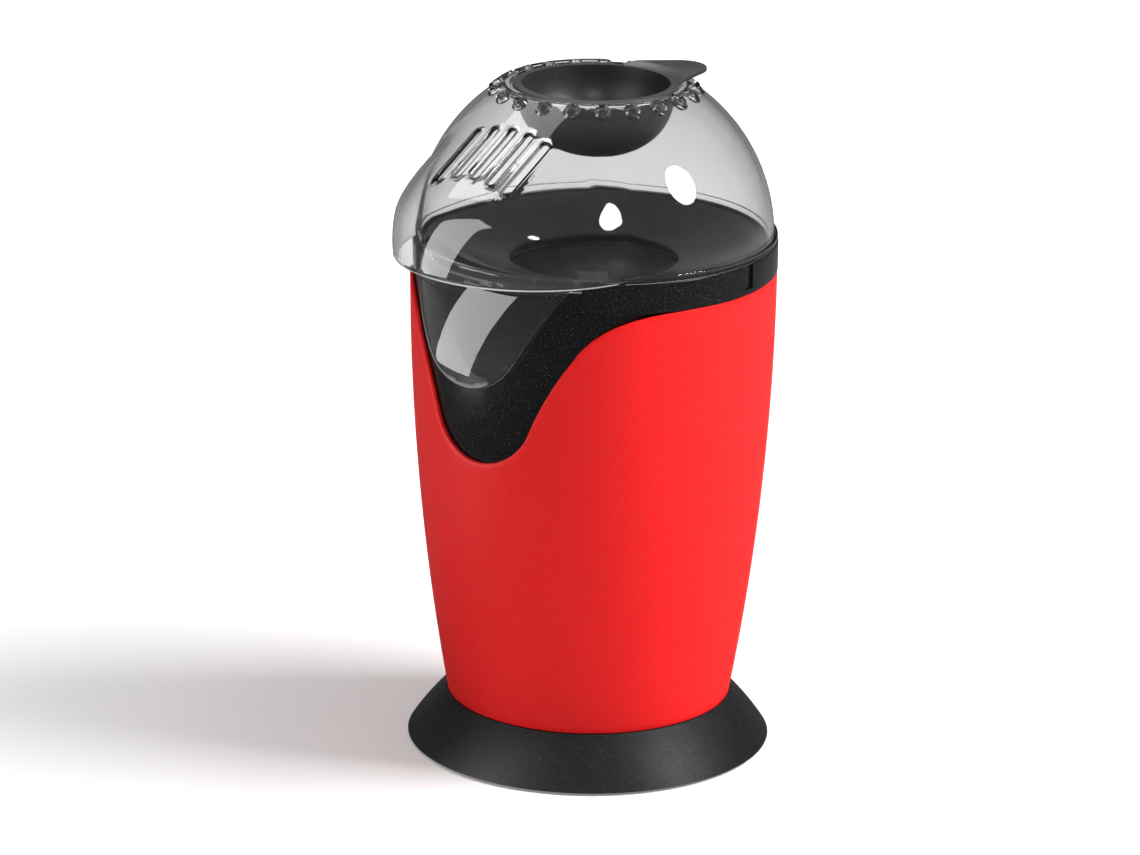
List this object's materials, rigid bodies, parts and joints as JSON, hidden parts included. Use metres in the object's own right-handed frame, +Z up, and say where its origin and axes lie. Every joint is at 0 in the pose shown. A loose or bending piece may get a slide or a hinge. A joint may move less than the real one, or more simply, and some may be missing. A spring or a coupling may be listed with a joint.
{
  "type": "popcorn maker",
  "caption": "Upright hot-air popcorn maker: slim red shell on a flared black base, clear dome with a spout hood and tongue, and a measuring cup in the top.",
  "frame": {"origin": "on the vertical axis of the round body, at the plane that the feet rest on", "axes": "+Z up, -Y out of the chute (front), +X to the right when facing -Y from behind the part, so the switch and the cord gland are at +Y"},
  "size_m": [0.1608, 0.1819, 0.2992],
  "materials": {
    "base_black": "satin moulded",
    "foot_rubber": "matt",
    "screw_steel": "zinc plated",
    "shell_red": "satin moulded",
    "top_black": "glossy moulded",
    "silicone": "matt silicone",
    "chamber_alloy": "spun, dark non-stick coat",
    "duct_steel": "galvanised sheet",
    "mica": "flaky mica",
    "coil_wire": "oxidised resistance wire",
    "terminal_brass": "dull",
    "ceramic_body": "ceramic",
    "works_plastic": "moulded",
    "fan_plastic": "heat resistant moulded",
    "winding": "lacquered",
    "magnet": "sintered",
    "motor_steel": "plated can",
    "board_green": "resist coated",
    "cap_blue": "sleeved",
    "rocker_red": "glossy",
    "wire_sleeve": "silicone sleeve",
    "clear_dome": "clear polished",
    "cup_smoke": "satin smoke grey"
  },
  "bodies": {
    "root": {"base_ring": "base_black", "base_plate": "base_black", "rubber_feet": "foot_rubber", "base_screws": "screw_steel", "housing": "shell_red", "top_housing": "top_black", "chamber_gasket": "silicone", "popping_chamber": "chamber_alloy", "chamber_screws": "screw_steel", "air_duct": "duct_steel", "mica_tube": "mica", "heating_coil": "coil_wire", "coil_terminals": "terminal_brass", "thermostat": "ceramic_body", "thermal_fuse": "ceramic_body", "fan_housing": "works_plastic", "deck_screws": "screw_steel", "motor_screws": "screw_steel", "motor_magnets": "magnet", "motor_brushes": "magnet", "motor_can": "motor_steel", "motor_end_cap": "works_plastic", "motor_bushes": "terminal_brass", "rectifier_board": "board_green", "diodes": "works_plastic", "capacitor": "cap_blue", "switch_frame": "top_black", "switch_terminals": "terminal_brass", "cord_gland": "foot_rubber", "wiring": "wire_sleeve"},
    "rotor": {"impeller": "fan_plastic", "motor_shaft": "screw_steel", "armature": "winding"},
    "rocker": {"switch_rocker": "rocker_red"},
    "dome": {"dome_cover": "clear_dome"},
    "cup": {"measuring_cup": "cup_smoke"}
  },
  "joints": [
    {"name": "dome_lift", "type": "slide", "parent": "root", "child": "dome", "axis": [0, 0, 1], "range_m": [0, 0.085]},
    {"name": "cup_lift", "type": "slide", "parent": "dome", "child": "cup", "axis": [0, 0, 1], "range_m": [0, 0.045]},
    {"name": "motor_spin", "type": "hinge", "parent": "root", "child": "rotor", "pos_m": [0, 0, 0.06], "axis": [0, 0, 1], "continuous": true},
    {"name": "switch_rock", "type": "hinge", "parent": "root", "child": "rocker", "pos_m": [0, 0.062, 0.048], "axis": [1, 0, 0], "range_deg": [-20, 0]}
  ]
}
